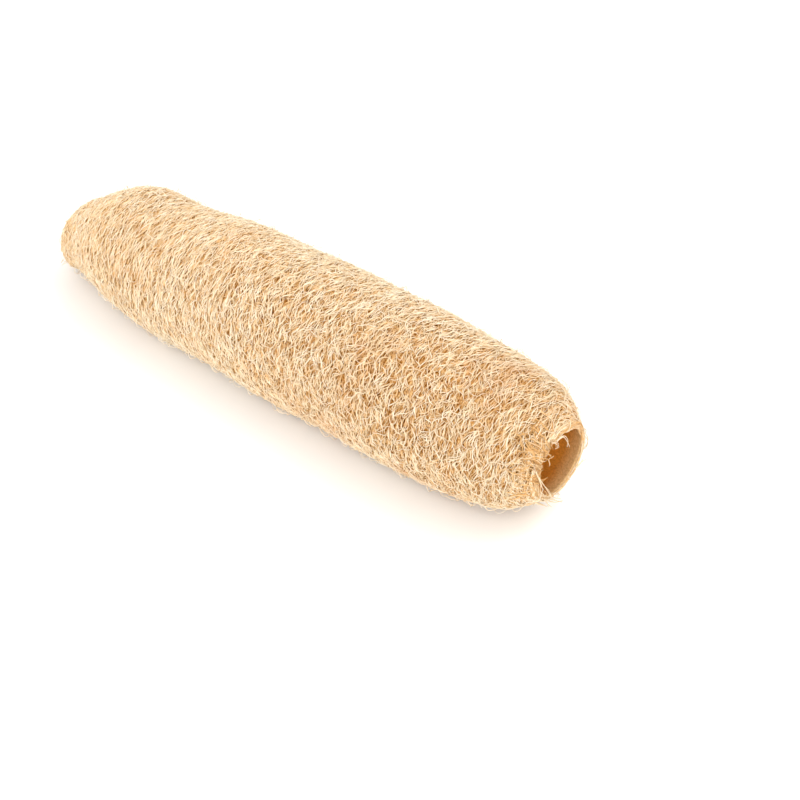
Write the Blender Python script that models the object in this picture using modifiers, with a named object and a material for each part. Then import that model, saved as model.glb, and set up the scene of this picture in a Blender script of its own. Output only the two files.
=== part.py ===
"""A natural loofah sponge: the dried fibre body of one gourd, hollow, with its broken-open end as the mouth.

The body lies along X with the mouth at +X, +Z up. The origin is under its middle, on the surface it rests on.
All sizes are in metres.
"""

import math
import random

import bmesh
import bpy
import numpy as np

NAME = "loofah_sponge"

# Overall size
LENGTH = 0.290
REST_DEPTH = 0.0320  # from the straight part's axis down to the flat strip that the weight presses

# Stations along the axis: distance from the closed tip, outline radius, height of the centre line
STATIONS = (
    (0.0165, 0.0191, -0.0107),
    (0.0460, 0.0290, -0.0043),
    (0.0750, 0.0317, -0.0050),
    (0.1250, 0.0339, -0.0006),
    (0.1850, 0.0342, -0.0003),
    (0.2360, 0.0333, -0.0001),
    (0.2600, 0.0309, 0.0008),
    (0.2780, 0.0260, 0.0016),
    (0.2900, 0.0170, 0.0023),
)
TIP_LENGTH = STATIONS[0][0]  # the closed tip is a quarter ellipse this long
TIP_HEIGHT = -0.0171

# Wall, measured inwards from the outline
WALL_BODY = 0.0080
WALL_TIP = 0.0110
WALL_MOUTH = 0.0024
MOUTH_TAPER = 0.034  # length over which the wall thins towards the mouth
TIP_TAPER = 0.054  # length over which it thickens towards the tip
CAVITY_RINGS = 11

# Raised net: strands cross at every second point of a grid, and the points between them are its pits
AROUND = 46  # points round the body, an even number
RING_SPACING = 0.00295  # from one ring of points to the next along the body
PIT_DEPTH = 0.0024
PIT_SPREAD = 0.6  # share by which depths differ
JITTER = 0.27  # share of the grid's spacing by which points stray
SWELL_HEIGHT = 0.0007  # of the slow swells that the whole net follows
SWELL_WAVES = 7
PLAIN_ENDS = 3  # rings at each end over which the net fades out
REST_FADE = 0.1  # the pits fade out towards the side it rests on, over this share of the radius
NET_SEED = 11

# The mouth's ragged lip, pressed in and torn on the side up and towards -Y
LIP_SIDE = math.radians(133)
LIP_DENT = 0.0030
LIP_DENT_LENGTH = 0.030
LIP_FRAY = 0.0030
LIP_FRAY_LENGTH = 0.012

DENSE = 400  # samples of the smooth outline
SHARP = math.radians(60)  # edges bent more than this are shaded sharp
FIBRE_COLOUR = (0.78, 0.58, 0.33, 1.0)
FIBRE_ROUGHNESS = 0.9


def clear_scene():
    for obj in list(bpy.data.objects):
        bpy.data.objects.remove(obj)


def smooth_through(stations, values, at):
    """A curve through the stations, each with the slope between its two neighbours."""
    slopes = np.gradient(values, stations)
    span = np.clip(np.searchsorted(stations, at) - 1, 0, len(stations) - 2)
    width = stations[span + 1] - stations[span]
    t = (at - stations[span]) / width
    start = (1 + 2 * t) * (1 - t) ** 2 * values[span] + t * (1 - t) ** 2 * width * slopes[span]
    end = t**2 * (3 - 2 * t) * values[span + 1] + t**2 * (t - 1) * width * slopes[span + 1]
    return start + end


def outline_radius(from_tip):
    """Radius of the body at each distance from the tip."""
    stations, radii, _ = np.array(STATIONS).T
    body = smooth_through(stations, radii, np.maximum(from_tip, TIP_LENGTH))
    inward = np.clip(1 - from_tip / TIP_LENGTH, 0, 1)
    return body * np.sqrt(1 - inward**2)


def centre_height(from_tip):
    """Height of the centre line over the straight part's axis: the tip droops to the surface."""
    stations, _, heights = np.array(STATIONS).T
    stations = np.concatenate([[0.0], stations])
    heights = np.concatenate([[TIP_HEIGHT], heights])
    return smooth_through(stations, heights, from_tip)


def outer_path():
    """The outline from tip to mouth as dense (distance from tip, radius, length along the outline)."""
    turn = np.linspace(0, math.pi / 2, DENSE)
    from_tip = np.concatenate([TIP_LENGTH * (1 - np.cos(turn)), np.linspace(TIP_LENGTH, LENGTH, DENSE)[1:]])
    radius = outline_radius(from_tip)
    along = np.concatenate([[0.0], np.cumsum(np.hypot(np.diff(from_tip), np.diff(radius)))])
    return from_tip, radius, along


def wall_thickness(from_tip):
    near_mouth = np.clip((from_tip - (LENGTH - MOUTH_TAPER)) / MOUTH_TAPER, 0, 1)
    near_tip = np.clip(1 - from_tip / TIP_TAPER, 0, 1)
    return WALL_BODY + (WALL_MOUTH - WALL_BODY) * near_mouth + (WALL_TIP - WALL_BODY) * near_tip


def cavity_profile():
    """The hollow's (distance from tip, radius) from the mouth back to its rounded end."""
    turn = np.linspace(0, math.pi / 2, CAVITY_RINGS)
    from_tip = WALL_TIP + (LENGTH - WALL_TIP) * np.cos(turn)
    from_tip[0] = LENGTH - WALL_MOUTH / 2
    radius = outline_radius(from_tip) - wall_thickness(from_tip)
    radius[-1] = 0.0
    return np.column_stack([from_tip, np.maximum(radius, 0)])


def turn_outward(mesh):
    """Turns the faces outward."""
    work = bmesh.new()
    work.from_mesh(mesh)
    bmesh.ops.recalc_face_normals(work, faces=work.faces)
    work.to_mesh(mesh)
    work.free()


def ring_count(path):
    return 2 * round(path[2][-1] / RING_SPACING / 2)


def turned_body(path):
    """The body as a turned shape: a profile down the outside and back up the hollow, screwed round X.

    Each point keeps its ring's number, or -1 in the hollow."""
    from_tip, radius, along = path
    rings = ring_count(path)
    stops = np.linspace(0, along[-1], rings + 1)
    outside = np.column_stack([np.interp(stops, along, from_tip), np.interp(stops, along, radius)])
    inside = cavity_profile()
    points = [(x, 0.0, r) for x, r in np.vstack([outside, inside])]
    mesh = bpy.data.meshes.new(NAME)
    mesh.from_pydata(points, [(i, i + 1) for i in range(len(points) - 1)], [])
    kept = mesh.attributes.new("ring", "FLOAT", "POINT")
    kept.data.foreach_set("value", np.concatenate([np.arange(rings + 1.0), np.full(len(inside), -1.0)]))
    body = bpy.data.objects.new(NAME, mesh)
    bpy.context.scene.collection.objects.link(body)
    turn = body.modifiers.new("Turn", "SCREW")
    turn.axis = "X"
    turn.steps = turn.render_steps = AROUND
    turn.use_merge_vertices = True
    turn.merge_threshold = 0.00001
    solid = bpy.data.meshes.new_from_object(body.evaluated_get(bpy.context.evaluated_depsgraph_get()))
    body.modifiers.clear()
    body.data = solid
    return body


def swells(along, angle):
    """A slow random function of length along and angle, between about -1 and 1, that closes round the body."""
    draw = random.Random(NET_SEED)
    total = 0
    for _ in range(SWELL_WAVES):
        total = total + np.sin(draw.uniform(20, 120) * along + draw.randint(-4, 4) * angle + draw.uniform(0, 6))
    return 2 * total / SWELL_WAVES


def column_of(angle):
    """Number of the grid's column, counted from straight up where the turning starts."""
    return np.round((angle - math.pi / 2) / math.tau * AROUND).astype(int) % AROUND


def lip(from_tip, radius, angle):
    """The mouth's lip: pressed in and frayed, most on its torn side."""
    facing = np.clip(np.cos(angle - LIP_SIDE), 0, 1) ** 2
    dented = np.clip((from_tip - LENGTH) / LIP_DENT_LENGTH + 1, 0, 1) ** 2
    frayed = np.clip((from_tip - LENGTH) / LIP_FRAY_LENGTH + 1, 0, 1) ** 2
    teeth = np.random.default_rng(NET_SEED).uniform(-1.0, 0.4, AROUND)
    from_tip = from_tip + LIP_FRAY * frayed * (0.25 + 0.75 * facing) * teeth[column_of(angle)]
    return from_tip, radius - LIP_DENT * facing * dented


def raise_net(ring, from_tip, radius, angle, path):
    """Strays the outside's points from their grid and sinks every second one along the surface's normal."""
    rings = ring_count(path)
    outside = (ring >= 0) & (radius > 0)
    row, column = ring[outside].astype(int), column_of(angle[outside])
    draw = np.random.default_rng(NET_SEED)
    stray_along, stray_round, depths = (draw.uniform(-1, 1, (rings + 1, AROUND))[row, column] for _ in range(3))
    spacing = path[2][-1] / rings
    fade = np.clip(np.minimum(row, rings - row) / PLAIN_ENDS, 0, 1)
    along = spacing * (row + JITTER * stray_along * fade)
    angle[outside] += JITTER * stray_round * math.tau / AROUND
    pit = PIT_DEPTH * (1 + PIT_SPREAD * depths) * ((row + column) % 2)
    off_rest = np.clip((np.sin(angle[outside]) + 1) / REST_FADE, 0, 1)
    height = fade * (SWELL_HEIGHT * swells(along, angle[outside]) - pit * off_rest)
    before, after = np.clip(along - spacing, 0, None), along + spacing
    run = np.interp(after, path[2], path[0]) - np.interp(before, path[2], path[0])
    rise = np.interp(after, path[2], path[1]) - np.interp(before, path[2], path[1])
    slope = np.hypot(run, rise)
    from_tip[outside] = np.interp(along, path[2], path[0]) - height * rise / slope
    radius[outside] = np.interp(along, path[2], path[1]) + height * run / slope


def placed(from_tip, radius, angle):
    """Points at these distances from the tip, radii and angles, bent along the centre line."""
    height = radius * np.sin(angle) + centre_height(np.clip(from_tip, 0, LENGTH)) + REST_DEPTH
    return np.column_stack([from_tip, radius * np.cos(angle), height])


def shape_body(body, path):
    """Raises the net and bends the body along its centre line."""
    mesh = body.data
    place = np.empty(len(mesh.vertices) * 3)
    mesh.vertices.foreach_get("co", place)
    place = place.reshape(-1, 3)
    ring = np.empty(len(mesh.vertices))
    mesh.attributes["ring"].data.foreach_get("value", ring)
    from_tip, radius = place[:, 0].copy(), np.hypot(place[:, 1], place[:, 2])
    angle = np.arctan2(place[:, 2], place[:, 1])
    strand = (ring >= 0) & ((ring + column_of(angle)) % 2 == 0)
    raise_net(ring, from_tip, radius, angle, path)
    from_tip, radius = lip(from_tip, radius, angle)
    mesh.vertices.foreach_set("co", placed(from_tip, radius, angle).ravel())
    mesh.attributes.remove(mesh.attributes["ring"])
    crease_strands(mesh, strand)


def crease_strands(mesh, strand):
    """Splits each face of the net between its two strand points, so that the strands are its crests."""
    work = bmesh.new()
    work.from_mesh(mesh)
    work.verts.ensure_lookup_table()
    for face in list(work.faces):
        crest = [corner for corner in face.verts if strand[corner.index]]
        if len(face.verts) == 4 and len(crest) == 2:
            bmesh.utils.face_split(face, *crest)
    work.to_mesh(mesh)
    work.free()


def set_down(body):
    """Presses the underside flat and puts the origin under the middle."""
    mesh = body.data
    place = np.empty(len(mesh.vertices) * 3)
    mesh.vertices.foreach_get("co", place)
    place = place.reshape(-1, 3)
    place[:, 2] = np.maximum(place[:, 2], 0)
    middle = (place.max(axis=0) + place.min(axis=0)) / 2
    place[:, :2] -= middle[:2]
    mesh.vertices.foreach_set("co", place.ravel())
    mesh.update()


def finish(body):
    """Shading, material and the object's collection."""
    mesh = body.data
    mesh.shade_smooth()
    mesh.set_sharp_from_angle(angle=SHARP)
    fibre = bpy.data.materials.new("dried_fibre")
    fibre.use_nodes = True
    shader = fibre.node_tree.nodes["Principled BSDF"]
    shader.inputs["Base Color"].default_value = FIBRE_COLOUR
    shader.inputs["Roughness"].default_value = FIBRE_ROUGHNESS
    shader.inputs["Metallic"].default_value = 0.0
    mesh.materials.clear()
    mesh.materials.append(fibre)
    group = bpy.data.collections.new(NAME)
    bpy.context.scene.collection.children.link(group)
    group.objects.link(body)
    bpy.context.scene.collection.objects.unlink(body)


def main():
    clear_scene()
    path = outer_path()
    body = turned_body(path)
    shape_body(body, path)
    turn_outward(body.data)
    set_down(body)
    finish(body)


main()
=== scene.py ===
"""A natural loofah sponge as the photograph shows it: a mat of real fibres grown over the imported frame.

Laid out as an add-on and run as a script: each operator adds one group of pieces. All sizes are in metres.
"""

import math

import bpy
import numpy as np
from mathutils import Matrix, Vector


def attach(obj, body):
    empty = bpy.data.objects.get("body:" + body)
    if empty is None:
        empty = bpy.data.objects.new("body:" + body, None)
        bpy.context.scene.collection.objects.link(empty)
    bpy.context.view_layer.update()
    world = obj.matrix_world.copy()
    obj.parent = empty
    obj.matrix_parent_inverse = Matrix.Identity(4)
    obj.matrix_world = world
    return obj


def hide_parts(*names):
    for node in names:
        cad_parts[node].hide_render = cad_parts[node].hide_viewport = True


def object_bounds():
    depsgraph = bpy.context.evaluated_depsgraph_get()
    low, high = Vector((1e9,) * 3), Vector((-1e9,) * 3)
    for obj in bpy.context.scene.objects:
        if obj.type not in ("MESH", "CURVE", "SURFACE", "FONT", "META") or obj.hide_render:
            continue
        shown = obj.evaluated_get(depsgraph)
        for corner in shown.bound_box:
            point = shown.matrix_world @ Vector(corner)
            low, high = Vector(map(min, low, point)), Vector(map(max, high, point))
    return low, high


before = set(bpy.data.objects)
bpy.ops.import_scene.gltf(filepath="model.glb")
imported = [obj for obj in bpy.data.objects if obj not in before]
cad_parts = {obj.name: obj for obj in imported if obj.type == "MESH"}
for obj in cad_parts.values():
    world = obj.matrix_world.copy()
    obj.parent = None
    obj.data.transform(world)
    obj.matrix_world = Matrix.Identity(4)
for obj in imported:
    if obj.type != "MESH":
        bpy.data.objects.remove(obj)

bl_info = {
    "name": "Loofah Sponge",
    "version": (1, 0, 0),
    "blender": (4, 5, 0),
    "location": "3D View > Sidebar > Loofah",
    "description": "Grows a dried loofah sponge: wall, lining, net of fibres, torn mouth and loose hairs",
    "category": "Add Mesh",
}

CAD_BOX = [list(corner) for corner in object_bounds()]
NODE = "loofah_sponge"
FIBRE = "Dried loofah fibre"

# The body's own sizes, the same as in the solid
LENGTH = 0.290
REST_DEPTH = 0.0320  # from the straight part's axis down to the ground
STATIONS = (  # distance from the closed tip, outline radius, height of the centre line
    (0.0165, 0.0191, -0.0107),
    (0.0460, 0.0290, -0.0043),
    (0.0750, 0.0317, -0.0050),
    (0.1250, 0.0339, -0.0006),
    (0.1850, 0.0342, -0.0003),
    (0.2360, 0.0333, -0.0001),
    (0.2600, 0.0309, 0.0008),
    (0.2780, 0.0260, 0.0016),
    (0.2900, 0.0170, 0.0023),
)
TIP_LENGTH = STATIONS[0][0]
TIP_HEIGHT = -0.0171
WIDEST = STATIONS[4][1]
WALL_BODY = 0.0080
WALL_TIP = 0.0110
WALL_MOUTH = 0.0024
WALL_LIFT = 0.0004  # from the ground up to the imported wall's flat underside
MOUTH_TAPER = 0.034
TIP_TAPER = 0.054
LIP_SIDE = math.radians(133)
LIP_DENT = 0.0030
LIP_DENT_LENGTH = 0.030

# The torn mouth. Angles are round the body, from +Y towards +Z.
LIP_TEAR = 0.0012  # mean depth torn off the lip
LIP_CURL = 0.6  # slope at which a fibre that runs past the lip bends in over the hole
FOLD = 0.0016  # how far the rim's inner edge comes in on the near side
FOLD_SIDE = math.radians(165)
THINNED = 0.0012  # how far the rim is worn back on the far side
THIN_SIDE = math.radians(300)
BARE_LENGTH = 0.012  # half the length of the patch by the lip where the upper net is torn off
BARE_TURN = 0.65  # half its width, in radians
BARE_BACK = 0.007  # how far its middle lies behind the lip

# The outside's relief
SWELL_HEIGHT = 0.0005
TUFT_HEIGHT = 0.00018

# The net
TANGLE_SIDE = math.radians(165)  # where its fibres are most tangled
TANGLE_START = 0.10  # length from the tip at which the tangle begins
TANGLE_RAMP = 0.08  # length over which it grows
COMBED_LIP = 0.010  # length at the lip where they lie combed again
COMBED_RAMP = 0.030
OPEN_SIDE = math.radians(140)  # where it is most open
OPEN_START = 0.035
OPEN_RAMP = 0.050
SPARSE = 0.15  # share of its fibres that is missing where it is open
SPARSER = 0.13  # further share that is missing near the mouth
SPARSER_START = 0.215
SPARSER_RAMP = 0.030
TIP_SHADE = 0.34  # painted shade added on the tip's fibres, which face the lights more than the body's
TIP_SHADE_LENGTH = 0.110
MOUTH_LAP = 0.030  # length over which the mat thins towards the mouth
MOUTH_FLAT = 0.6  # share of its depth that the mat loses there
UNDER_BARE = 0.6  # share of its fibres that is missing on the pressed underside
TORN_BARE = 0.6  # the same where it is torn off by the lip
WHIRL = 0.018  # length of the tip's cap, where fibres lie every way
WHIRL_SPREAD = 60  # further spread of their headings there, in degrees
TANGLE_SPREAD = 14  # the same in the tangle
FIBRE_STEPS = 3
FIBRE_STEP = 0.0025
FIBRE_WAVE = 0.009  # length of a fibre's side-to-side waves, about
STRAND_WAVE = 0.008  # the same for loose strands
STRAND_WIGGLE = 0.5  # how far a loose strand's heading swings, in radians
WEAVE = 0.00026  # height by which a fibre weaves up and down
DIVE = 0.0006  # depth to which its ends dive into the mat
DEEPEST = 0.0013  # depth at which a fibre gets the full painted shade of the deep ramp
PROUD = np.array([0.0040, 0.0008, 0.0015])  # how far hairs stand out of the solid's box at most
LIFT = 0.00002  # the lowest hairs' height over the ground
GOLDEN = 0.6180339887  # share of a turn between one start point and the next
# name, share of the fibres, seed, least depth, greatest depth, share of the width, spread in degrees
NET_LAYERS = (
    ("net_deep", 0.6, 21, 0.0006, 0.0010, 1.2, 30),
    ("net_low", 1.0, 22, 0.0003, 0.0008, 1.1, 22),
    ("net_middle", 1.0, 23, 0.0002, 0.0006, 1.0, 18),
    ("net_upper", 1.0, 24, 0.0000, 0.0004, 1.0, 16),
    ("net_top", 1.0, 25, -0.0002, 0.0003, 1.0, 16),
)

# Finish of the meshes
DENSE = 600  # points in each half of the outline's table
WALL_SIDES = 96
STRAY_POINTS = 9

# Fibres that hang loose at the mouth, in millimetres: hooks over the hole, loops beside the rim and
# tufts under it
STRAYS = (
    ((146.2, -5.0, 49.0), (146.2, -1.1, 48.9), (146.2, 1.9, 45.9), (146.2, 2.9, 42.7), (146.2, 2.5, 40.9)),
    ((146.2, -8.3, 50.2), (146.2, -5.5, 47.8), (146.2, -3.2, 44.7), (146.2, -5.9, 45.5)),
    ((147.0, -16.6, 38.4), (147.0, -12.8, 32.0), (147.0, -8.8, 24.9), (147.0, -6.3, 19.9)),
    ((146.6, -18.3, 42.5), (146.6, -15.2, 36.1), (146.6, -12.6, 29.0)),
    ((146.6, -0.1, 53.1), (146.6, -4.1, 53.7), (146.6, -7.9, 53.2), (146.6, -11.8, 53.8)),
    ((144.5, 15.2, 38.7), (144.5, 18.4, 34.4), (144.5, 20.3, 30.5), (144.5, 19.3, 28.0),
     (144.5, 17.1, 29.0)),
    ((144.5, 15.5, 41.1), (144.5, 18.0, 37.9), (144.5, 17.5, 36.7)),
    ((145.5, 10.8, 23.6), (145.5, 14.3, 23.4), (145.5, 16.2, 24.8)),
    ((145.0, -11.1, 22.7), (145.0, -6.6, 17.3), (145.0, -4.9, 13.3)),
    ((145.0, -6.3, 20.3), (145.0, -0.4, 14.9), (145.0, 3.4, 11.7)),
    ((145.0, -8.9, 20.6), (145.0, -2.4, 15.3), (145.0, 4.3, 9.3)),
    ((144.0, -12.9, 20.6), (144.0, -9.3, 17.5), (144.0, -4.8, 12.6)),
    ((145.0, -4.9, 19.8), (145.0, 0.0, 17.4), (145.0, 2.4, 14.6)),
)

# Studio
KEY_PLACE = (0.45, 0.55, 1.22)
FRONT_PLACE = (0.50, -1.08, 0.88)
FRONT_SHARE = 1.9  # of the key light's power
EYE = (0.3990, -0.3942, 0.4226 + REST_DEPTH)
VIEW = (-0.4976, 0.5836, -0.6418)
AIM = (0, 0, 0.03)  # where the lights point


# The body's surface


def smooth_through(stations, values, at):
    """A curve through the stations, each with the slope between its two neighbours."""
    slopes = np.gradient(values, stations)
    span = np.clip(np.searchsorted(stations, at) - 1, 0, len(stations) - 2)
    width = stations[span + 1] - stations[span]
    t = (at - stations[span]) / width
    start = (1 + 2 * t) * (1 - t) ** 2 * values[span] + t * (1 - t) ** 2 * width * slopes[span]
    end = t**2 * (3 - 2 * t) * values[span + 1] + t**2 * (t - 1) * width * slopes[span + 1]
    return start + end


def outline_radius(from_tip):
    stations, radii, _ = np.array(STATIONS).T
    body = smooth_through(stations, radii, np.maximum(from_tip, TIP_LENGTH))
    inward = np.clip(1 - from_tip / TIP_LENGTH, 0, 1)
    return body * np.sqrt(1 - inward**2)


def centre_height(from_tip):
    stations, _, heights = np.array(STATIONS).T
    stations = np.concatenate([[0.0], stations])
    heights = np.concatenate([[TIP_HEIGHT], heights])
    return smooth_through(stations, heights, np.clip(from_tip, 0, LENGTH))


def outline():
    """The outline from tip to mouth: distances from the tip, radii and lengths along it."""
    turn = np.linspace(0, math.pi / 2, DENSE)
    tip = TIP_LENGTH * (1 - np.cos(turn))
    from_tip = np.concatenate([tip, np.linspace(TIP_LENGTH, LENGTH, DENSE)[1:]])
    radius = outline_radius(from_tip)
    along = np.concatenate([[0.0], np.cumsum(np.hypot(np.diff(from_tip), np.diff(radius)))])
    return from_tip, radius, along


PATH_X, PATH_R, PATH_S = outline()
END = PATH_S[-1]


def waves(seed, count, along_low, along_high, turns):
    """A smooth random field over (length along, angle), about -1 to 1, that closes round the body."""
    draw = np.random.default_rng(seed)
    rates = draw.uniform(along_low, along_high, count)
    rounds = draw.integers(-turns, turns + 1, count)
    starts = draw.uniform(0, math.tau, count)

    def field(along, angle):
        parts = zip(rates, rounds, starts)
        total = sum(np.sin(rate * along + turn * angle + start) for rate, turn, start in parts)
        return total * math.sqrt(2 / count) * 0.7

    return field


# seed, number of waves, slowest and fastest along the body in radians a metre, most waves round it
SWELLS = waves(3, 9, 20, 130, 4)
TUFTS = waves(4, 14, 500, 1500, 60)
SWIRL = waves(5, 8, 10, 60, 3)
CURL = waves(6, 12, 120, 500, 16)
TORN = waves(7, 10, 0, 1, 16)


def facing_lip(angle):
    """1 on the mouth's torn side, falling to 0 a quarter turn away."""
    return np.clip(np.cos(angle - LIP_SIDE), 0, 1) ** 2


def lip_end(angle):
    """Length along the outline at which the wall ends: less on the torn side."""
    return END - LIP_TEAR * facing_lip(angle) * (1 + 0.45 * TORN(0.0, angle))


def fold(angle):
    """How far the rim's inner edge comes in here: more on the near side, less on the worn far side."""
    near = FOLD * np.clip(np.cos(angle - FOLD_SIDE), 0, 1) ** 2 * (1 + 0.25 * TORN(0.0, angle))
    return near - THINNED * np.clip(np.cos(angle - THIN_SIDE), 0, 1)


def laid_flat(from_tip):
    """How deep the loose mat is here, as a share: it lies flat where the body closes to the mouth."""
    return 1 - MOUTH_FLAT * np.clip((from_tip - LENGTH) / MOUTH_LAP + 1, 0, 1) ** 2


def relief(along, angle):
    """Slow swells and small tufts of the outside, which the wall under the net follows."""
    return SWELL_HEIGHT * SWELLS(along, angle) + TUFT_HEIGHT * TUFTS(along, angle)


def on_body(along, angle, depth):
    """Points at this length along the outline, this angle and this depth under it, and their normals."""
    over = np.maximum(along - END, 0)
    at = np.minimum(along, END)
    step = 0.0015
    before, after = np.clip(at - step, 0, None), np.minimum(at + step, END)
    run = np.interp(after, PATH_S, PATH_X) - np.interp(before, PATH_S, PATH_X)
    rise = np.interp(after, PATH_S, PATH_R) - np.interp(before, PATH_S, PATH_R)
    slope = np.hypot(run, rise)
    run, rise = run / slope, rise / slope
    depth = depth * np.where(depth > 0, laid_flat(np.interp(at, PATH_S, PATH_X)), 1)
    height = relief(at, angle) - depth - LIP_CURL * over
    from_tip = np.interp(at, PATH_S, PATH_X) - height * rise + over * run
    radius = np.interp(at, PATH_S, PATH_R) + height * run + over * rise
    dented = np.clip((from_tip - LENGTH) / LIP_DENT_LENGTH + 1, 0, 1.2) ** 2
    radius = radius - LIP_DENT * facing_lip(angle) * dented
    y, z = radius * np.cos(angle), radius * np.sin(angle)
    place = np.stack([from_tip - LENGTH / 2, y, z + centre_height(from_tip) + REST_DEPTH], axis=-1)
    normal = np.stack([-rise, run * np.cos(angle), run * np.sin(angle)], axis=-1)
    return place, normal


# Fibres


def even_starts(count, draw, low=0.0, high=END):
    """Start points spread evenly over the outside between two lengths along it."""
    area = np.concatenate([[0.0], np.cumsum(np.diff(PATH_S) * (PATH_R[1:] + PATH_R[:-1]) / 2)])
    first, last = np.interp([low, high], PATH_S, area)
    share = (np.arange(count) + draw.uniform(0, 1, count)) / count
    along = np.interp(first + (last - first) * share, area, PATH_S)
    angle = (np.arange(count) * GOLDEN + draw.uniform(0, 0.02, count)) % 1 * math.tau - math.pi
    return along, angle


def tangled(along, angle):
    """How far the net is a tangle here, from 0 where the fibres lie combed round the body to 1."""
    body = np.clip((along - TANGLE_START) / TANGLE_RAMP, 0, 1)
    body = body * np.clip((END - COMBED_LIP - along) / COMBED_RAMP, 0, 1)
    across = 0.35 + 0.5 * np.cos(angle - TANGLE_SIDE) + 0.2 * SWIRL(along + 0.1, angle)
    return np.clip(body * across, 0.06, 1)


def open_net(along, angle):
    """How open the net is here, from 0 where the fibres lie close to 1 where gaps show the wall's painted
    shade.
    """
    body = np.clip((along - OPEN_START) / OPEN_RAMP, 0, 1)
    across = 0.55 + 0.45 * np.cos(angle - OPEN_SIDE) + 0.15 * SWIRL(along + 0.2, angle)
    return np.clip(body * across * (0.6 + 0.5 * tangled(along, angle)), 0, 1)


def torn_off(along, angle):
    """How far the upper net is torn away here, by the lip on its torn side."""
    aside = np.angle(np.exp(1j * (angle - LIP_SIDE)))
    away = np.hypot((END - along - BARE_BACK) / BARE_LENGTH, aside / BARE_TURN)
    return np.clip(1.6 - 1.6 * away, 0, 1)


def grow(draw, along, angle, heading, steps, step, wiggle, wave):
    """Walks fibres over the body. Returns their lengths along it and angles, one row a fibre."""
    count = len(along)
    rate = math.tau * step / draw.uniform(wave * 0.6, wave * 1.6, count)
    start = draw.uniform(0, math.tau, count)
    bend = draw.normal(0, 1, count) * wiggle * 0.25
    alongs, angles = [along], [angle]
    for number in range(steps):
        turn = heading + bend * number + wiggle * np.sin(rate * number + start)
        turn = turn + CURL(along, angle) * 0.25 * tangled(along, angle)
        along = along + step * np.cos(turn)
        angle = angle + step * np.sin(turn) / np.maximum(np.interp(along, PATH_S, PATH_R), 0.004)
        crossed = along < 0
        angle = np.where(crossed, angle + math.pi, angle)
        heading = np.where(crossed, math.pi - heading, heading)
        along = np.abs(along)
        alongs.append(along)
        angles.append(angle)
    return np.stack(alongs, axis=1), np.stack(angles, axis=1)


def tube_mesh(name, points, normals, widths, tone, depth):
    """One mesh of closed three-sided tubes along these rows of points, flat side down."""
    points = np.clip(points, np.array(CAD_BOX[0]) - PROUD, np.array(CAD_BOX[1]) + PROUD)
    tangent = np.gradient(points, axis=1)
    tangent /= np.linalg.norm(tangent, axis=2, keepdims=True) + 1e-12
    side = np.cross(tangent, normals)
    side /= np.linalg.norm(side, axis=2, keepdims=True) + 1e-12
    up = np.cross(side, tangent)
    corners = []
    for turn in (math.pi / 2, math.pi * 7 / 6, math.pi * 11 / 6):
        out = math.cos(turn) * side + math.sin(turn) * up
        corners.append(points + out * widths[..., None] / 2)
    place = np.stack(corners, axis=2)
    place[..., 2] = np.maximum(place[..., 2], LIFT)
    count, rows = points.shape[:2]
    first = (np.arange(count) * rows * 3)[:, None, None]
    row = (np.arange(rows - 1) * 3)[None, :, None]
    corner = np.arange(3)[None, None, :]
    following = (corner + 1) % 3
    walls = np.stack([first + row + corner, first + row + following,
                      first + row + 3 + following, first + row + 3 + corner], axis=-1).reshape(-1, 4)
    last = (rows - 1) * 3
    caps = np.concatenate([
        np.stack([first[:, 0, 0] + 2, first[:, 0, 0] + 1, first[:, 0, 0]], axis=-1),
        np.stack([first[:, 0, 0] + last, first[:, 0, 0] + last + 1, first[:, 0, 0] + last + 2], axis=-1),
    ])
    mesh = bpy.data.meshes.new(name)
    mesh.from_pydata(place.reshape(-1, 3), [], walls.tolist() + caps.tolist())
    # the "depth" attribute sets how far the fibre material's deep ramp darkens each fibre, which on the net
    # is painted shade
    for title, value in (("tone", tone), ("depth", depth)):
        full = np.repeat(np.broadcast_to(value, (count, rows)).reshape(-1), 3)
        mesh.attributes.new(title, "FLOAT", "POINT").data.foreach_set("value", full.astype(np.float32))
    mesh.shade_smooth()
    return mesh


def add_piece(name, mesh, material):
    piece = bpy.data.objects.new(name, mesh)
    bpy.context.scene.collection.objects.link(piece)
    mesh.materials.append(material)
    settle(piece)


def settle(piece):
    """Puts a finished piece on the body, in the solid's place."""
    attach(piece, "root")
    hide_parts(NODE)


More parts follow.
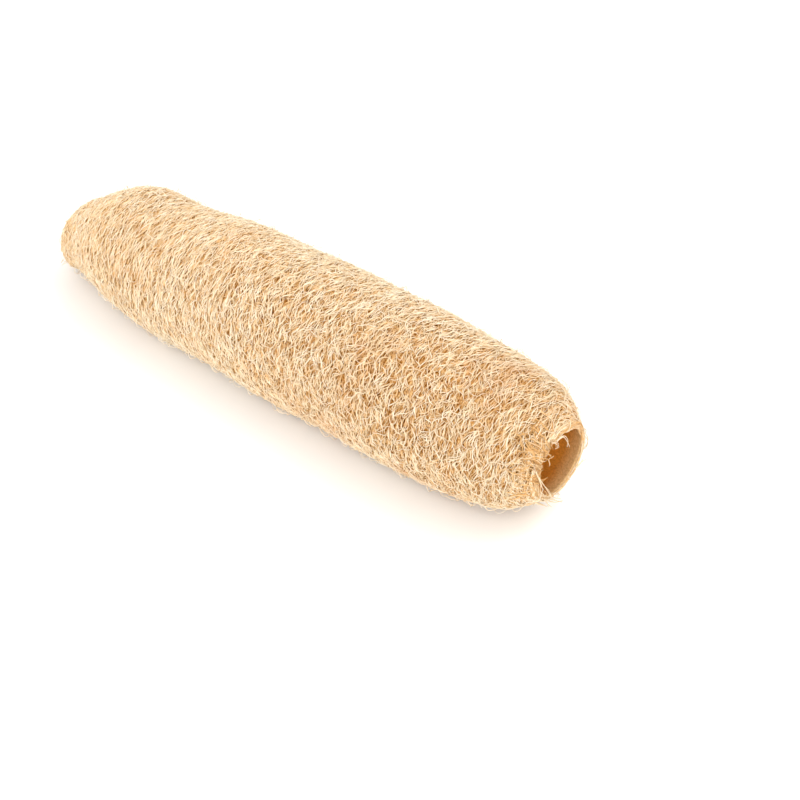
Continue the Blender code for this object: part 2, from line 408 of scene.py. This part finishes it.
def add_mat(name, count, seed, low, high, width, straight, material):
    """A layer of the net: fibres that lie round the body, weave up and down, and dive at both ends."""
    draw = np.random.default_rng(seed)
    along, angle = even_starts(count * 4 // 3, draw)
    sparse = SPARSE + SPARSER * np.clip((along - SPARSER_START) / SPARSER_RAMP, 0, 1)
    bare = np.maximum(sparse * open_net(along, angle), TORN_BARE * torn_off(along, angle))
    bare = np.maximum(bare, UNDER_BARE * (np.sin(angle) < -0.8))
    kept = draw.permutation(np.flatnonzero(draw.uniform(0, 1, len(along)) > bare))[:count]
    along, angle, count = along[kept], angle[kept], len(kept)
    gaps = open_net(along, angle)[:, None]
    loose = tangled(along, angle)
    whirled = np.clip(1 - along / WHIRL, 0, 1)
    spread = np.radians(straight + TANGLE_SPREAD * loose + WHIRL_SPREAD * whirled)
    heading = math.pi / 2 + 0.15 * SWIRL(along, angle) + draw.normal(0, 1, count) * spread
    heading = heading + draw.integers(0, 2, count) * math.pi
    wiggle = np.radians(draw.uniform(5, 18, count) * (1 + loose))
    step = FIBRE_STEP * (1 - 0.2 * loose)
    along, angle = grow(draw, along, angle, heading, FIBRE_STEPS, step, wiggle, FIBRE_WAVE)
    along = np.minimum(along, lip_end(angle) - draw.uniform(0, 0.0012, (count, 1)))
    number = np.arange(FIBRE_STEPS + 1)[None, :]
    level = draw.uniform(low, high, (count, 1))
    weave = WEAVE * np.sin(number * math.tau * step[:, None] / draw.uniform(0.004, 0.008, (count, 1))
                           + draw.uniform(0, math.tau, (count, 1)))
    from_end = np.minimum(number, FIBRE_STEPS - number)
    dive = DIVE * np.clip(1 - from_end / 1.4, 0, 1)
    depth = level + weave + dive
    points, normals = on_body(along, angle, depth)
    widths = width * draw.uniform(0.65, 1.3, (count, 1)) * np.clip(0.5 + from_end / 2.5, 0, 1)
    widths = widths * (0.85 + 0.15 * gaps)
    tone = draw.uniform(0, 1, (count, 1))
    # painted shade: fibres lower in the mat, more so where the net is open, are darkened as if shaded, and
    # the tip, which faces the lights, is darkened too; this goes out as the "depth" attribute
    tip = np.clip(1 - along / TIP_SHADE_LENGTH, 0, 1)
    shade_and_tan = depth / DEEPEST * (0.9 + 0.12 * gaps) * (1 - 0.4 * tip) + TIP_SHADE * tip
    mesh = tube_mesh(name, points, normals, widths, tone, np.clip(shade_and_tan, 0, 1))
    add_piece(name, mesh, material)


def add_strands(name, draw, along, angle, heading, steps, step, depth, widths, tone, shade_and_tan, material):
    """Loose fibres of the given start, heading and depths along them, thinned at both ends."""
    along, angle = grow(draw, along, angle, heading, steps, step, STRAND_WIGGLE, STRAND_WAVE)
    number = np.arange(steps + 1)[None, :]
    from_end = np.minimum(number, steps - number)
    points, normals = on_body(along, angle, depth)
    thinned = widths * np.clip(0.5 + from_end / 2, 0, 1)
    mesh = tube_mesh(name, points, normals, thinned, tone, shade_and_tan)
    add_piece(name, mesh, material)


# Materials


def linear(hex_colour):
    """An sRGB hex value as linear red, green, blue and full alpha."""
    colour = []
    for start in (0, 2, 4):
        part = int(hex_colour[start:start + 2], 16) / 255
        colour.append(part / 12.92 if part <= 0.04045 else ((part + 0.055) / 1.055) ** 2.4)
    return colour + [1.0]


def add_node(tree, kind, at, values=None, links=None, stops=(), **settings):
    """Adds a node with its settings, input values, links from other sockets and colour stops."""
    node = tree.nodes.new(kind)
    node.location = at
    for name, value in settings.items():
        setattr(node, name, value)
    for name, value in (values or {}).items():
        node.inputs[name].default_value = value
    for name, socket in (links or {}).items():
        tree.links.new(socket, node.inputs[name])
    for number, (place, colour) in enumerate(stops):
        elements = node.color_ramp.elements
        element = elements[number] if number < len(elements) else elements.new(place)
        element.position = place
        element.color = colour
    return node


def new_material(name, roughness):
    material = bpy.data.materials.new(name)
    material.use_nodes = True
    tree = material.node_tree
    shader = tree.nodes["Principled BSDF"]
    shader.inputs["Roughness"].default_value = roughness
    shader.inputs["IOR"].default_value = 1.5
    return material, tree, shader


def dried_fibre():
    """Dried gourd fibre: matt straw, paler where it is clean, with painted shade darkening the fibres down
    in the mat.
    """
    if FIBRE in bpy.data.materials:
        return bpy.data.materials[FIBRE]
    colours = bpy.context.scene.loofah_colours
    material, tree, shader = new_material(FIBRE, 0.6)
    tone = add_node(tree, "ShaderNodeAttribute", (-900, 200), attribute_name="tone")
    depth = add_node(tree, "ShaderNodeAttribute", (-900, 0), attribute_name="depth")
    place = add_node(tree, "ShaderNodeTexCoord", (-1100, -250))
    # slow stains, 30 to 60 mm across
    stain = add_node(tree, "ShaderNodeTexNoise", (-900, -250),
                     {"Scale": 28.0, "Detail": 3.0, "Roughness": 0.55}, {"Vector": place.outputs["Object"]})
    # flecks along each fibre, 1 to 2 mm
    fleck = add_node(tree, "ShaderNodeTexNoise", (-900, -450), {"Scale": 900.0, "Detail": 2.0},
                     {"Vector": place.outputs["Object"]})
    straw = add_node(tree, "ShaderNodeValToRGB", (-650, 200), links={"Fac": tone.outputs["Fac"]},
                     stops=[(0.0, linear("E9D4B0")), (0.45, colours.fibre), (1.0, linear("FAEEDA"))])
    # painted shade: the "depth" attribute darkens the fibres down in the mat, as if shaded
    deep_shade = add_node(tree, "ShaderNodeValToRGB", (-650, -20), links={"Fac": depth.outputs["Fac"]},
                    stops=[(0.2, linear("FFFFFF")), (0.65, linear("EFD1A6")), (1.0, colours.deep_shade)])
    mixed = add_node(tree, "ShaderNodeMix", (-350, 150), {"Factor": 1.0},
                     {6: straw.outputs["Color"], 7: deep_shade.outputs["Color"]},
                     data_type="RGBA", blend_type="MULTIPLY")
    blush = add_node(tree, "ShaderNodeValToRGB", (-650, -250), links={"Fac": stain.outputs["Fac"]},
                     stops=[(0.35, linear("FFFFFF")), (0.55, linear("FEFAF4")), (0.7, linear("FCEFE4"))])
    stained = add_node(tree, "ShaderNodeMix", (-100, 100), {"Factor": 1.0},
                       {6: mixed.outputs[2], 7: blush.outputs["Color"]},
                       data_type="RGBA", blend_type="MULTIPLY")
    tree.links.new(stained.outputs[2], shader.inputs["Base Color"])
    bump = add_node(tree, "ShaderNodeBump", (-350, -400), {"Strength": 0.25, "Distance": 0.0001},
                    {"Height": fleck.outputs["Fac"]})
    tree.links.new(bump.outputs["Normal"], shader.inputs["Normal"])
    shader.inputs["Specular IOR Level"].default_value = 0.18
    return material


def packed_wall():
    """The mat's packed floor, where single fibres can't be told apart: straw strands over brown pits, the
    brown being painted shade of the gaps in the net.
    """
    material, tree, shader = new_material("Packed loofah wall", 0.85)
    shader.inputs["Specular IOR Level"].default_value = 0.05
    laid = add_node(tree, "ShaderNodeUVMap", (-1500, 0), uv_map="laid")
    # strands 0.5 mm wide and some 3 mm long that run round the body
    drawn = add_node(tree, "ShaderNodeMapping", (-1300, 100), {"Scale": (1.0, 0.16, 1.0)},
                     {"Vector": laid.outputs["UV"]})
    strand = add_node(tree, "ShaderNodeTexNoise", (-1050, 150),
                      {"Scale": 2000.0, "Detail": 1.0, "Distortion": 0.6},
                      {"Vector": drawn.outputs["Vector"]})
    # pits, 1.5 mm across
    pit = add_node(tree, "ShaderNodeTexNoise", (-1050, -150), {"Scale": 650.0, "Detail": 1.0},
                   {"Vector": laid.outputs["UV"]})
    both = add_node(tree, "ShaderNodeMix", (-800, 0), {"Factor": 0.4},
                    {"A": strand.outputs["Fac"], "B": pit.outputs["Fac"]})
    # painted shade of the deep gaps: darker where the net over it is open
    gaps = add_node(tree, "ShaderNodeAttribute", (-1050, 400), attribute_name="gaps")
    open_here = add_node(tree, "ShaderNodeMath", (-700, 250), operation="MULTIPLY_ADD",
                         links={0: gaps.outputs["Fac"], 2: both.outputs["Result"]})
    open_here.inputs[1].default_value = -0.08
    # its browns are painted shade of the gaps in the net; its pale end is the strands' straw
    ramp = add_node(tree, "ShaderNodeValToRGB", (-550, 0), links={"Fac": open_here.outputs[0]},
                    stops=[(0.32, linear("6A4016")), (0.42, linear("B07C40")), (0.54, linear("DEB880"))])
    tree.links.new(ramp.outputs["Color"], shader.inputs["Base Color"])
    bump = add_node(tree, "ShaderNodeBump", (-550, -300), {"Strength": 0.6, "Distance": 0.0004},
                    {"Height": both.outputs["Result"]})
    tree.links.new(bump.outputs["Normal"], shader.inputs["Normal"])
    return material


def smooth_lining():
    """The hollow's lining, a dense felt: pale at the rim, orange-brown and finely streaked further in."""
    material, tree, shader = new_material("Felted loofah lining", 0.9)
    shader.inputs["Specular IOR Level"].default_value = 0.0
    place = add_node(tree, "ShaderNodeTexCoord", (-1300, 0))
    split = add_node(tree, "ShaderNodeSeparateXYZ", (-1100, 200),
                     links={"Vector": place.outputs["Object"]})
    # fine fibres along the hollow, 0.7 mm wide and some 5 mm long
    stretch = add_node(tree, "ShaderNodeMapping", (-1100, -100), {"Scale": (0.12, 1.0, 1.0)},
                       {"Vector": place.outputs["Object"]})
    grain = add_node(tree, "ShaderNodeTexNoise", (-850, -100), {"Scale": 1500.0, "Detail": 3.0},
                     {"Vector": stretch.outputs["Vector"]})
    # clouds, 7 mm across
    cloud = add_node(tree, "ShaderNodeTexNoise", (-850, -350), {"Scale": 140.0, "Detail": 2.0},
                     {"Vector": place.outputs["Object"]})
    # the pale band by the rim, 13 mm deep
    near = add_node(tree, "ShaderNodeMapRange", (-850, 200), {"From Min": 0.131, "From Max": 0.1445},
                    {"Value": split.outputs["X"]})
    soft = add_node(tree, "ShaderNodeMath", (-650, 100), {2: -0.06}, operation="MULTIPLY_ADD",
                    links={0: cloud.outputs["Fac"]})
    soft.inputs[1].default_value = 0.16
    share = add_node(tree, "ShaderNodeMath", (-500, 200), operation="ADD",
                     links={0: near.outputs["Result"], 1: soft.outputs[0]})
    lining = bpy.context.scene.loofah_colours.lining
    ramp = add_node(tree, "ShaderNodeValToRGB", (-350, 200), links={"Fac": share.outputs[0]},
                    stops=[(0.0, lining), (0.3, linear("FFB650")), (0.65, linear("FFCF8A")),
                           (1.0, linear("F2CE98"))])
    shade = add_node(tree, "ShaderNodeValToRGB", (-650, -50), links={"Fac": grain.outputs["Fac"]},
                     stops=[(0.35, linear("E6DED2")), (0.6, linear("FFFFFF"))])
    grained = add_node(tree, "ShaderNodeMix", (-200, 100), {"Factor": 1.0},
                       {6: ramp.outputs["Color"], 7: shade.outputs["Color"]},
                       data_type="RGBA", blend_type="MULTIPLY")
    tree.links.new(grained.outputs[2], shader.inputs["Base Color"])
    bump = add_node(tree, "ShaderNodeBump", (-350, -200), {"Strength": 0.35, "Distance": 0.0002},
                    {"Height": grain.outputs["Fac"]})
    tree.links.new(bump.outputs["Normal"], shader.inputs["Normal"])
    return material


def studio_floor(colour):
    """A matt white studio sweep."""
    material, tree, shader = new_material("Matt white sweep", 0.8)
    place = add_node(tree, "ShaderNodeTexCoord", (-900, 0))
    # faint mottles, 300 mm across
    mottle = add_node(tree, "ShaderNodeTexNoise", (-650, 0), {"Scale": 3.0, "Detail": 2.0},
                      {"Vector": place.outputs["Object"]})
    ramp = add_node(tree, "ShaderNodeValToRGB", (-400, 0), links={"Fac": mottle.outputs["Fac"]},
                    stops=[(0.0, colour), (1.0, linear("FBFBFB"))])
    tree.links.new(ramp.outputs["Color"], shader.inputs["Base Color"])
    return material


# Settings


class LoofahShape(bpy.types.PropertyGroup):
    fibre_width: bpy.props.FloatProperty(
        name="Fibre width", description="Width of a fibre on the outside", default=0.00048, unit="LENGTH")
    layer_fibres: bpy.props.IntProperty(
        name="Fibres a layer", description="Fibres in each layer of the net", default=9300)
    loose_hairs: bpy.props.IntProperty(
        name="Loose hairs", description="Hairs and small loops that stand off the body", default=1500)
    mat_depth: bpy.props.FloatProperty(
        name="Mat depth", description="Depth of the loose mat over the packed wall", default=0.0012,
        unit="LENGTH")


class LoofahColours(bpy.types.PropertyGroup):
    fibre: bpy.props.FloatVectorProperty(
        name="Fibre", description="Middle tone of the clean fibres", default=linear("F2E1C4"), size=4,
        subtype="COLOR")
    # painted shade: the colour that darkens the fibres deepest in the mat, as if shaded
    deep_shade: bpy.props.FloatVectorProperty(
        name="Deep fibre", description="What tans the fibres deepest in the mat", default=linear("AA7A44"),
        size=4, subtype="COLOR")
    lining: bpy.props.FloatVectorProperty(
        name="Lining", description="Colour deep inside the hollow", default=linear("FFB446"), size=4,
        subtype="COLOR")
    floor: bpy.props.FloatVectorProperty(
        name="Floor", description="Colour of the studio floor", default=linear("F6F5F3"), size=4,
        subtype="COLOR")


class LoofahLight(bpy.types.PropertyGroup):
    key: bpy.props.FloatProperty(
        name="Key light", description="Power of the key light", default=7.8, unit="POWER")
    sky: bpy.props.FloatProperty(
        name="Sky", description="Strength of the even light from all round", default=1.0)


# Pieces


def wall_rings():
    """(distance from tip, radius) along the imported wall's outside, round the rim and back inside."""
    mat = bpy.context.scene.loofah_shape.mat_depth
    stops = TIP_LENGTH * (1 - np.cos(np.linspace(0.12, math.pi / 2, 9)[:-1]))
    body, shoulder = np.linspace(TIP_LENGTH, 0.262, 60), np.linspace(0.265, LENGTH - 0.0004, 16)
    rings = []
    for x in np.concatenate([stops, body, shoulder]):
        # at the round tip the mat's depth also lies along the axis
        held_back = mat * max(0.0, 1 - x / TIP_LENGTH)
        rings.append((x + held_back, float(outline_radius(x) - mat * laid_flat(x))))
    turn = np.linspace(0.03, math.pi / 2 - 0.06, 40)
    for x in WALL_TIP + (LENGTH - 0.0008 - WALL_TIP) * np.cos(turn):
        near_mouth = np.clip((x - (LENGTH - MOUTH_TAPER)) / MOUTH_TAPER, 0, 1)
        near_tip = np.clip(1 - x / TIP_TAPER, 0, 1)
        wall = WALL_BODY + (WALL_MOUTH - WALL_BODY) * near_mouth + (WALL_TIP - WALL_BODY) * near_tip
        rings.append((x, max(float(outline_radius(x)) - wall, 0.0015)))
    return rings


class LOOFAH_OT_wall(bpy.types.Operator):
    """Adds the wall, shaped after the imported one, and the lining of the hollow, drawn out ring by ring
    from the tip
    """

    bl_idname = "loofah.wall"
    bl_label = "Add Wall"

    def execute(self, context):
        bpy.ops.object.select_all(action="DESELECT")
        rings = wall_rings()
        x, radius = rings[0]
        bpy.ops.mesh.primitive_circle_add(vertices=WALL_SIDES, radius=radius, fill_type="NGON",
                                          rotation=(0, math.pi / 2, 0),
                                          location=(x, 0, float(centre_height(x))))
        wall = context.object
        wall.name = wall.data.name = "packed_wall"
        bpy.ops.object.transform_apply()
        bpy.ops.object.mode_set(mode="EDIT")
        bpy.ops.mesh.select_all(action="SELECT")
        for (x0, r0), (x1, r1) in zip(rings, rings[1:]):
            height = float(centre_height(x1))
            move = (x1 - x0, 0, height - float(centre_height(x0)))
            bpy.ops.mesh.extrude_region_move(TRANSFORM_OT_translate={"value": move})
            bpy.ops.transform.resize(value=(1, r1 / r0, r1 / r0), center_override=(x1, 0, height))
        bpy.ops.mesh.select_all(action="SELECT")
        bpy.ops.mesh.normals_make_consistent(inside=False)
        bpy.ops.object.mode_set(mode="OBJECT")
        self.tear_lip(wall.data)
        wall.data.materials.append(packed_wall())
        wall.data.materials.append(smooth_lining())
        inside = self.lining_faces(wall.data)
        wall.data.polygons.foreach_set("material_index", inside)
        bpy.ops.object.shade_smooth()
        self.lay_map(wall.data)
        settle(wall)
        return {"FINISHED"}

    def lining_faces(self, mesh):
        """1 for each face inside the hollow or on the rim, and 0 outside."""
        marks = []
        for face in mesh.polygons:
            middle = face.center
            axis = float(centre_height(np.array(middle.x + LENGTH / 2))) + REST_DEPTH
            out = Vector((0, middle.y, middle.z - axis))
            marks.append(int(face.normal.dot(out) < 0 or face.normal.x > 0.85))
        return marks

    def lay_map(self, mesh):
        """Maps the wall in metres, along the body and round it, and notes how open the net over it is."""
        laid = mesh.uv_layers.new(name="laid").data
        places = np.array([vertex.co for vertex in mesh.vertices])
        from_tip = places[:, 0] + LENGTH / 2
        angle = np.arctan2(places[:, 2] - centre_height(from_tip) - REST_DEPTH, places[:, 1])
        along = np.interp(from_tip, PATH_X, PATH_S)
        gaps = np.maximum(open_net(along, angle), torn_off(along, angle))
        mesh.attributes.new("gaps", "FLOAT", "POINT").data.foreach_set("value", gaps.astype(np.float32))
        for face in mesh.polygons:
            turns = []
            for corner in face.loop_indices:
                place = mesh.vertices[mesh.loops[corner].vertex_index].co
                axis = float(centre_height(place.x + LENGTH / 2)) + REST_DEPTH
                turns.append((corner, place.x, math.atan2(place.z - axis, place.y)))
            highest = max(turn for _, _, turn in turns)
            for corner, x, turn in turns:
                turn += math.tau if highest - turn > math.pi else 0.0
                laid[corner].uv = (x, turn * WIDEST)

    def tear_lip(self, mesh):
        """Puts the drawn tube in its place, dents and tears its mouth and flattens its underside."""
        place = np.empty(len(mesh.vertices) * 3)
        mesh.vertices.foreach_get("co", place)
        place = place.reshape(-1, 3)
        from_tip = place[:, 0].copy()
        height = place[:, 2] - centre_height(from_tip)
        angle = np.arctan2(height, place[:, 1])
        radius = np.hypot(height, place[:, 1])
        near = np.clip((from_tip - LENGTH) / LIP_DENT_LENGTH + 1, 0, 1) ** 2
        radius -= LIP_DENT * facing_lip(angle) * near
        outside = np.clip((radius - outline_radius(from_tip)) / WALL_BODY + 1, 0, 1)
        radius += relief(np.interp(from_tip, PATH_X, PATH_S), angle) * outside
        inside = np.clip((outline_radius(from_tip) - radius) / WALL_MOUTH - 0.4, 0, 1)
        radius -= fold(angle) * near * inside
        from_tip -= (END - lip_end(angle)) * near**2
        place[:, 0] = from_tip - LENGTH / 2
        place[:, 1] = radius * np.cos(angle)
        place[:, 2] = np.maximum(radius * np.sin(angle) + centre_height(from_tip) + REST_DEPTH, WALL_LIFT)
        mesh.vertices.foreach_set("co", place.ravel())
        mesh.update()


class LOOFAH_OT_net(bpy.types.Operator):
    """Adds the net of fibres in layers, the ones deep in the mat, darkest with painted shade, first"""

    bl_idname = "loofah.net"
    bl_label = "Add Net"

    def execute(self, context):
        shape = context.scene.loofah_shape
        fibre = dried_fibre()
        for name, share, seed, low, high, wide, straight in NET_LAYERS:
            count = round(shape.layer_fibres * share)
            add_mat(name, count, seed, low, high, shape.fibre_width * wide, straight, fibre)
        return {"FINISHED"}


class LOOFAH_OT_mouth(bpy.types.Operator):
    """Adds the rim's wound fibres, the torn lip's frayed ends and the tufts under the mouth"""

    bl_idname = "loofah.mouth"
    bl_label = "Add Mouth"

    def execute(self, context):
        width = context.scene.loofah_shape.fibre_width
        fibre = dried_fibre()
        self.add_rim(width, fibre)
        self.add_frayed_lip(width, fibre)
        self.add_strays(width, fibre)
        return {"FINISHED"}

    def add_rim(self, width, material):
        """Adds fibres wound round the rim's face, from its outer to its inner edge."""
        draw = np.random.default_rng(31)
        count, steps, step = 260, 8, 0.0016
        turn = step / PATH_R[-1] * draw.uniform(0.6, 1.2, (count, 1)) * np.arange(steps + 1)[None, :]
        angle = LIP_SIDE + draw.uniform(0.35, math.tau - 0.6, (count, 1)) + turn
        wave = np.sin(turn * draw.uniform(4, 14, (count, 1)) + draw.uniform(0, math.tau, (count, 1)))
        inward = draw.uniform(-0.15, 1, (count, 1)) * (WALL_MOUTH + fold(angle)) + 0.0004 * wave
        radius = PATH_R[-1] - LIP_DENT * facing_lip(angle) - inward
        ahead = draw.uniform(-0.0006, 0.0003, (count, 1)) + 0.00025 * wave
        ahead = ahead - 0.5 * np.maximum(0.001 - inward, 0)
        x = LENGTH / 2 + lip_end(angle) - END + ahead
        height = float(centre_height(np.array(LENGTH))) + REST_DEPTH
        points = np.stack([x, radius * np.cos(angle), radius * np.sin(angle) + height], axis=-1)
        normals = np.broadcast_to([1.0, 0.0, 0.0], points.shape)
        widths = width * draw.uniform(0.8, 1.4, (count, 1)) * np.ones((1, steps + 1))
        widths[:, [0, -1]] *= 0.4
        tone = draw.uniform(0, 0.7, (count, 1))
        # the rim fibres are darkened through the deep ramp: partly their own tan, partly painted shade
        # against the light the rim face catches
        shade_and_tan = draw.uniform(0.25, 0.7, (count, 1))
        add_piece("rim", tube_mesh("rim", points, normals, widths, tone, shade_and_tan), material)

    def add_frayed_lip(self, width, material):
        """Adds coarse fibres that run to the torn lip, with their ends curled in over the hole."""
        draw = np.random.default_rng(32)
        count, steps, step = 120, 6, 0.0013
        angle = LIP_SIDE + draw.normal(0.3, 0.55, count)
        heading = draw.normal(0.3, 0.7, count)
        past = draw.uniform(-0.006, 0.0024, count) + 1.1 * fold(angle) * draw.uniform(0, 1, count)
        along = lip_end(angle) + past - steps * step * np.cos(heading)
        depth = draw.uniform(-0.0003, 0.0003, (count, 1)) * np.ones((1, steps + 1))
        widths = width * draw.uniform(0.8, 1.5, (count, 1))
        tone = draw.uniform(0, 0.6, (count, 1))
        # painted shade: the frayed fibres in the torn recess are darkened through the deep ramp
        shade_and_tan = draw.uniform(0.35, 0.85, (count, 1))
        add_strands("frayed_lip", draw, along, angle, heading, steps, step, depth, widths, tone, shade_and_tan,
                    material)

    def add_strays(self, width, material):
        """Adds the loose fibres of STRAYS, each in a pair that spreads apart."""
        draw = np.random.default_rng(33)
        rows = []
        for stray in STRAYS:
            through = np.array(stray) / 1000
            away = np.linspace(0.2, 1, len(stray))[:, None]
            for spread in (0.0, 0.0009):
                held = through + draw.normal(0, 1, through.shape) * spread * away
                along = np.concatenate([[0.0], np.cumsum(np.linalg.norm(np.diff(held, axis=0), axis=1))])
                at = np.linspace(0, along[-1], STRAY_POINTS)
                curve = [smooth_through(along, held[:, axis], at) for axis in range(3)]
                rows.append(np.stack(curve, axis=-1))
        points = np.array(rows)
        widths = width * draw.uniform(0.8, 1.3, (len(rows), 1)) * np.linspace(1, 0.5, STRAY_POINTS)[None, :]
        mesh = tube_mesh("stray_fibres", points, np.broadcast_to([1.0, 0.0, 0.0], points.shape), widths,
                         draw.uniform(0.2, 0.7, (len(rows), 1)), 0.25)
        add_piece("stray_fibres", mesh, material)


class LOOFAH_OT_fuzz(bpy.types.Operator):
    """Adds loose hairs and small loops that stand off the body all over"""

    bl_idname = "loofah.fuzz"
    bl_label = "Add Fuzz"

    def execute(self, context):
        draw = np.random.default_rng(41)
        count = context.scene.loofah_shape.loose_hairs
        width = context.scene.loofah_shape.fibre_width
        steps, step = 7, 0.0011
        along, angle = even_starts(count, draw)
        heading = draw.uniform(0, math.tau, count)
        arch = np.sin(np.linspace(0, math.pi, steps + 1))[None, :]
        higher_at_tip = (1.7 - np.clip(along / 0.07, 0, 0.7))[:, None]
        depth = 0.0004 - arch * draw.uniform(0.0005, 0.0026, (count, 1)) * higher_at_tip
        widths = width * draw.uniform(0.4, 0.65, (count, 1))
        tone = draw.uniform(0.5, 1, (count, 1))
        add_strands("fuzz", draw, along, angle, heading, steps, step, depth, widths, tone, 0.0,
                    dried_fibre())
        return {"FINISHED"}


# Stage


class LOOFAH_OT_stage(bpy.types.Operator):
    """Adds the floor, the soft studio light and the camera"""

    bl_idname = "loofah.stage"
    bl_label = "Add Stage"

    def execute(self, context):
        scene = context.scene
        bpy.ops.object.select_all(action="DESELECT")
        bpy.ops.mesh.primitive_plane_add(size=20.0, location=(0, 0, 0))
        floor = context.object
        floor.name = "floor"
        floor.data.materials.append(studio_floor(scene.loofah_colours.floor))
        key = scene.loofah_light.key
        self.add_light("Key", KEY_PLACE, 0.9, key, (1.0, 0.985, 0.96))
        self.add_light("Front", FRONT_PLACE, 1.2, key * FRONT_SHARE, (1.0, 0.98, 0.95))
        world = bpy.data.worlds.new("Studio")
        scene.world = world
        world.use_nodes = True
        sky = world.node_tree.nodes["Background"]
        sky.inputs["Color"].default_value = (1.0, 0.988, 0.968, 1.0)
        sky.inputs["Strength"].default_value = scene.loofah_light.sky
        scene.view_settings.view_transform = "Standard"
        camera = bpy.data.cameras.new("Camera")
        camera.lens = 72.0
        camera.sensor_width = 36.0
        camera.clip_start = 0.01
        eye = bpy.data.objects.new("Camera", camera)
        scene.collection.objects.link(eye)
        eye.location = EYE
        eye.rotation_euler = Vector(VIEW).to_track_quat("-Z", "Y").to_euler()
        scene.camera = eye
        return {"FINISHED"}

    def add_light(self, name, place, size, power, colour):
        light = bpy.data.lights.new(name, "AREA")
        light.size = size
        light.energy = power
        light.color = colour
        lamp = bpy.data.objects.new(name, light)
        bpy.context.scene.collection.objects.link(lamp)
        lamp.location = place
        toward = Vector(AIM) - lamp.location
        lamp.rotation_euler = toward.to_track_quat("-Z", "Y").to_euler()


class LOOFAH_PT_panel(bpy.types.Panel):
    """The sidebar's list of steps"""

    bl_label = "Loofah"
    bl_idname = "LOOFAH_PT_panel"
    bl_space_type = "VIEW_3D"
    bl_region_type = "UI"
    bl_category = "Loofah"

    def draw(self, context):
        layout = self.layout
        scene = context.scene
        for group in (scene.loofah_shape, scene.loofah_colours, scene.loofah_light):
            for name in group.__annotations__:
                layout.prop(group, name)
        for step in STEPS:
            layout.operator(step.bl_idname)


STEPS = (LOOFAH_OT_stage, LOOFAH_OT_wall, LOOFAH_OT_net, LOOFAH_OT_mouth, LOOFAH_OT_fuzz)
CLASSES = (LoofahShape, LoofahColours, LoofahLight, *STEPS, LOOFAH_PT_panel)


def register():
    for cls in CLASSES:
        bpy.utils.register_class(cls)
    bpy.types.Scene.loofah_shape = bpy.props.PointerProperty(type=LoofahShape)
    bpy.types.Scene.loofah_colours = bpy.props.PointerProperty(type=LoofahColours)
    bpy.types.Scene.loofah_light = bpy.props.PointerProperty(type=LoofahLight)


def unregister():
    del bpy.types.Scene.loofah_light
    del bpy.types.Scene.loofah_colours
    del bpy.types.Scene.loofah_shape
    for cls in reversed(CLASSES):
        bpy.utils.unregister_class(cls)


def main():
    register()
    bpy.ops.loofah.stage()
    bpy.ops.loofah.wall()
    bpy.ops.loofah.net()
    bpy.ops.loofah.mouth()
    bpy.ops.loofah.fuzz()


if __name__ == "__main__":
    main()
